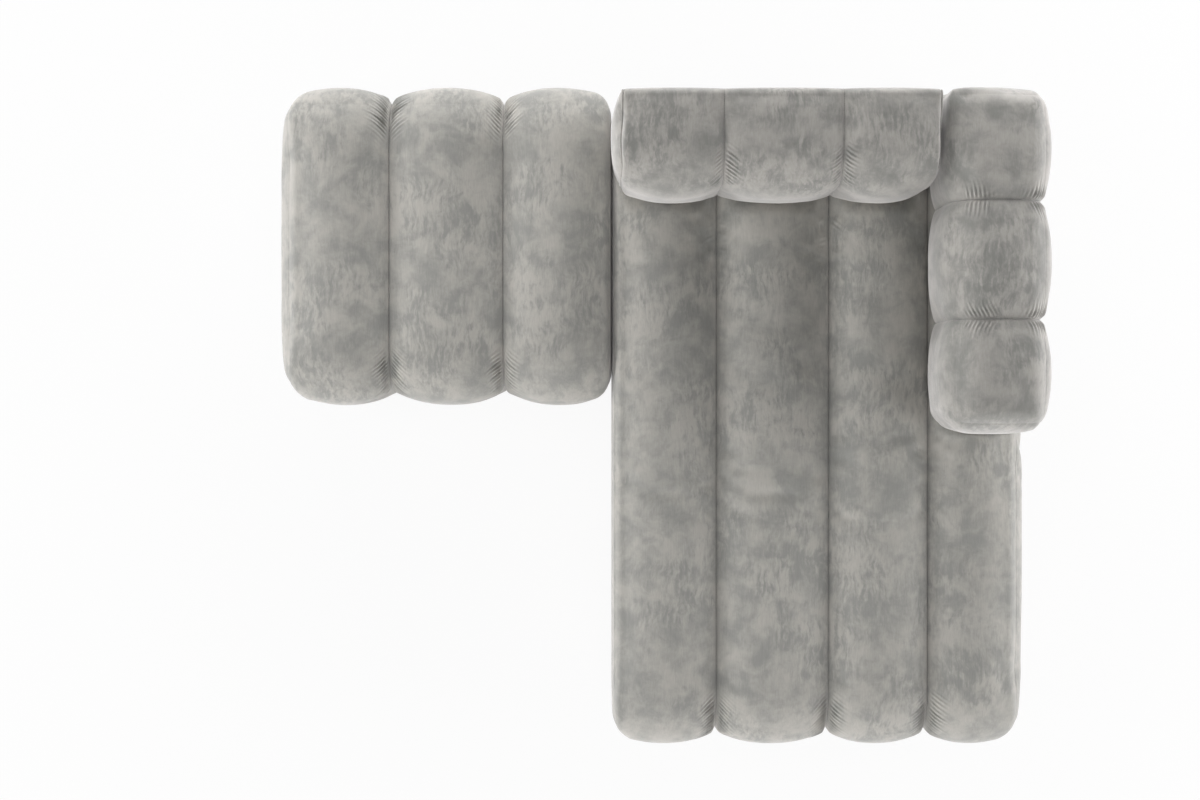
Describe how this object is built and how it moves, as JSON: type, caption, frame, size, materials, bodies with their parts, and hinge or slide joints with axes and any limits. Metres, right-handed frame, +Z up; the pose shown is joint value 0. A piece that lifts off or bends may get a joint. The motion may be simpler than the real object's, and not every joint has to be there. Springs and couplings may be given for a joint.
{
  "type": "modular chaise longue with pouf",
  "caption": "Low channel-quilted velvet chaise longue with a plug-in backrest, one plug-in armrest and a matching pouf docked at its open side.",
  "frame": {"origin": "on the floor, under the middle of the whole lounge's bounding box", "axes": "+X from the pouf to the armrest, +Y from the foot end to the backrest, +Z up"},
  "size_m": [2.0684, 1.82, 0.6983],
  "materials": {
    "velvet": "short-pile velvet, channel quilted",
    "foam": "open-cell polyurethane foam",
    "felt": "pressed felt",
    "pine": "planed, unfinished",
    "plywood": "sanded, unfinished",
    "dust_cloth": "non-woven cloth",
    "black_plastic": "moulded, fine grain",
    "spring_steel": "drawn wire, oiled",
    "zinc_steel": "zinc plated"
  },
  "bodies": {
    "chaise": {"chaise_cover": "velvet", "chaise_foam": "foam", "chaise_felt": "felt", "chaise_left_rail": "pine", "chaise_right_rail": "pine", "chaise_front_rail": "pine", "chaise_rear_rail": "pine", "chaise_inner_rail": "pine", "chaise_cross_rail": "pine", "chaise_dust_cover": "dust_cloth", "chaise_foot_1": "black_plastic", "chaise_foot_2": "black_plastic", "chaise_foot_3": "black_plastic", "chaise_foot_4": "black_plastic", "chaise_foot_5": "black_plastic", "chaise_foot_6": "black_plastic", "chaise_spring_1": "spring_steel", "chaise_spring_2": "spring_steel", "chaise_spring_3": "spring_steel", "chaise_spring_4": "spring_steel", "chaise_spring_5": "spring_steel", "chaise_spring_6": "spring_steel", "chaise_fork_1": "zinc_steel", "chaise_fork_2": "zinc_steel", "back_socket_1": "zinc_steel", "back_socket_2": "zinc_steel", "arm_socket_1": "zinc_steel", "arm_socket_2": "zinc_steel"},
    "pouf": {"pouf_cover": "velvet", "pouf_foam": "foam", "pouf_felt": "felt", "pouf_left_rail": "pine", "pouf_right_rail": "pine", "pouf_front_rail": "pine", "pouf_rear_rail": "pine", "pouf_dust_cover": "dust_cloth", "pouf_foot_1": "black_plastic", "pouf_foot_2": "black_plastic", "pouf_foot_3": "black_plastic", "pouf_foot_4": "black_plastic", "pouf_spring_1": "spring_steel", "pouf_spring_2": "spring_steel", "pouf_spring_3": "spring_steel", "pouf_spring_4": "spring_steel", "pouf_peg_bracket_1": "zinc_steel", "pouf_peg_bracket_2": "zinc_steel"},
    "backrest": {"back_cover": "velvet", "back_foam": "foam", "back_base_board": "plywood", "back_upright_board": "plywood", "back_gusset": "plywood", "back_tongue_1": "zinc_steel", "back_tongue_2": "zinc_steel"},
    "armrest": {"arm_cover": "velvet", "arm_foam": "foam", "arm_base_board": "plywood", "arm_upright_board": "plywood", "arm_gusset": "plywood", "arm_tongue_1": "zinc_steel", "arm_tongue_2": "zinc_steel"}
  },
  "joints": [
    {"name": "pouf_slide", "type": "slide", "parent": "chaise", "child": "pouf", "axis": [-1, 0, 0], "range_m": [0, 0.5]},
    {"name": "backrest_lift", "type": "slide", "parent": "chaise", "child": "backrest", "axis": [0, 0, 1], "range_m": [0, 0.18]},
    {"name": "armrest_lift", "type": "slide", "parent": "chaise", "child": "armrest", "axis": [0, 0, 1], "range_m": [0, 0.18]}
  ]
}
